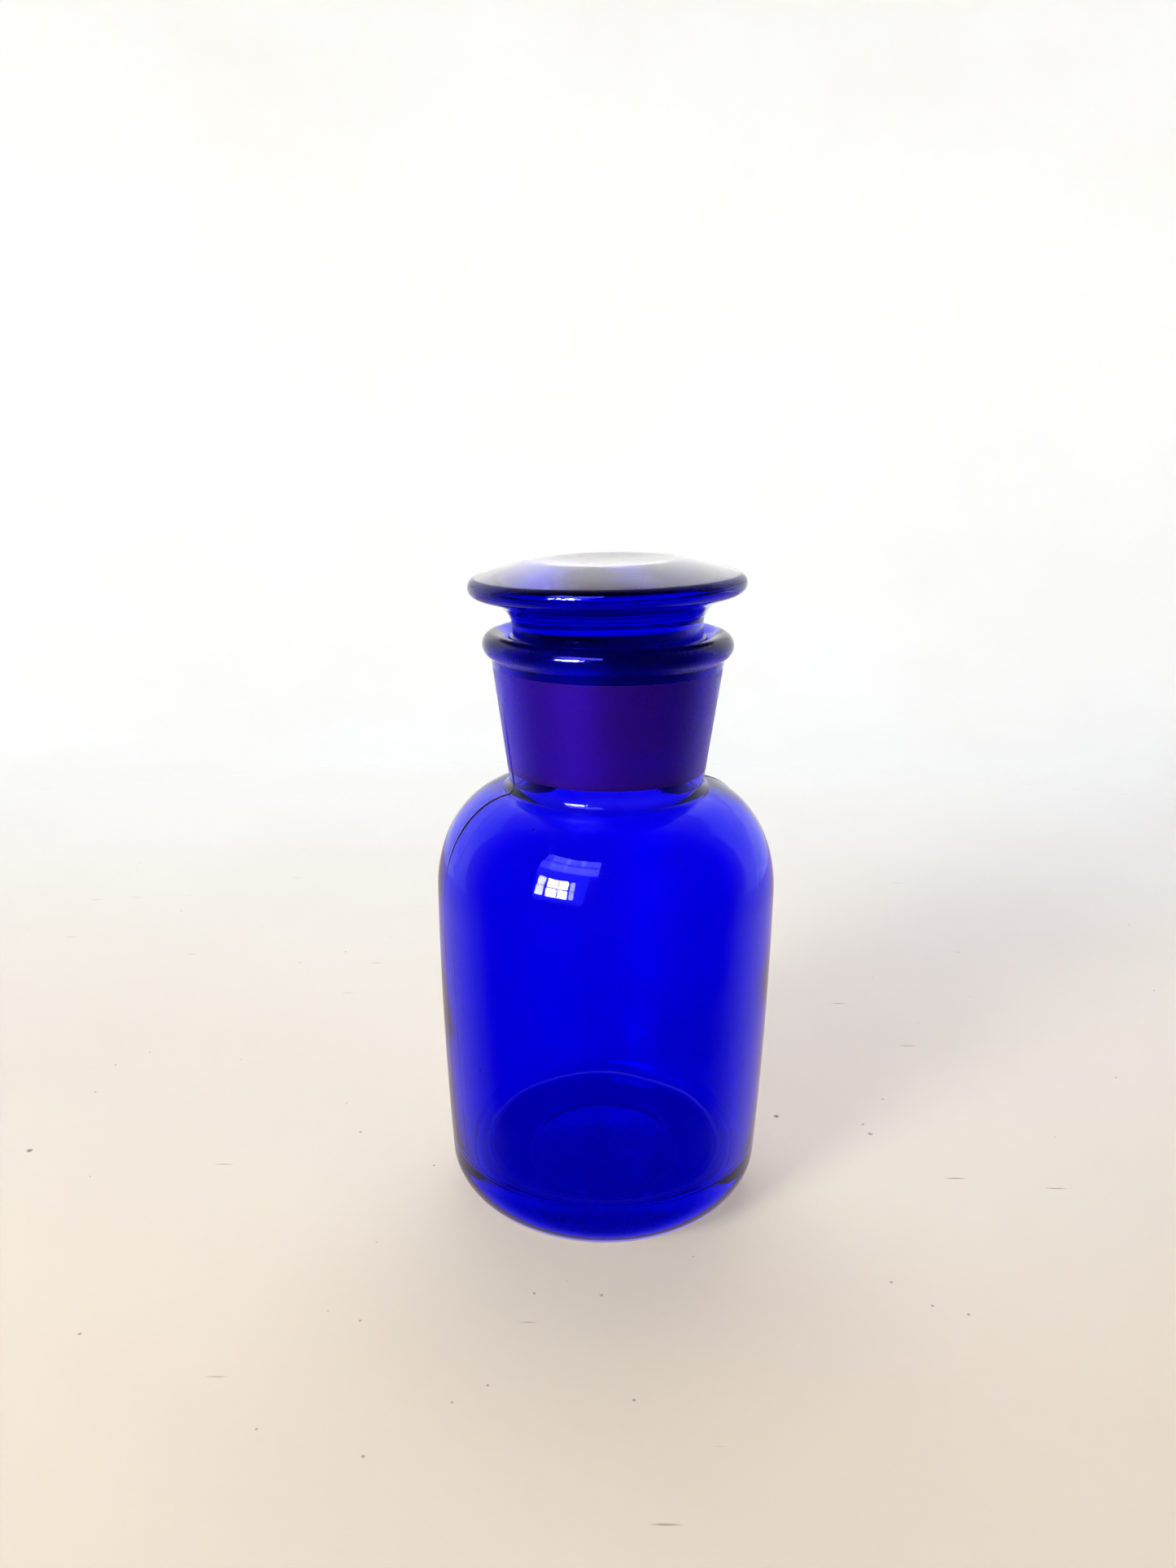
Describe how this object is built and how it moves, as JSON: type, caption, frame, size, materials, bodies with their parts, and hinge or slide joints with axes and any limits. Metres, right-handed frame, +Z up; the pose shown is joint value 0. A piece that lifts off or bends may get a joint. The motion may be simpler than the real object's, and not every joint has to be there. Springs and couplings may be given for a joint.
{
  "type": "medicine bottle",
  "caption": "Wide-mouth glass medicine bottle with a rounded shoulder, a rolled lip and a lift-out ground-glass stopper with a flat mushroom head.",
  "frame": {"origin": "centre of the base, on the plane the bottle stands on", "axes": "+Z up along the bottle's axis, -Y towards the viewer"},
  "size_m": [0.058, 0.058, 0.1133],
  "materials": {
    "bottle_glass": "fire-polished, clear cobalt blue, with a ground zone inside the neck",
    "stopper_glass": "pressed and fire-polished, clear cobalt blue, with a ground plug"
  },
  "bodies": {
    "bottle": {"bottle": "bottle_glass"},
    "stopper": {"stopper": "stopper_glass"}
  },
  "joints": [
    {"name": "stopper_lift", "type": "slide", "parent": "bottle", "child": "stopper", "axis": [0, 0, 1], "range_m": [0, 0.035]}
  ]
}
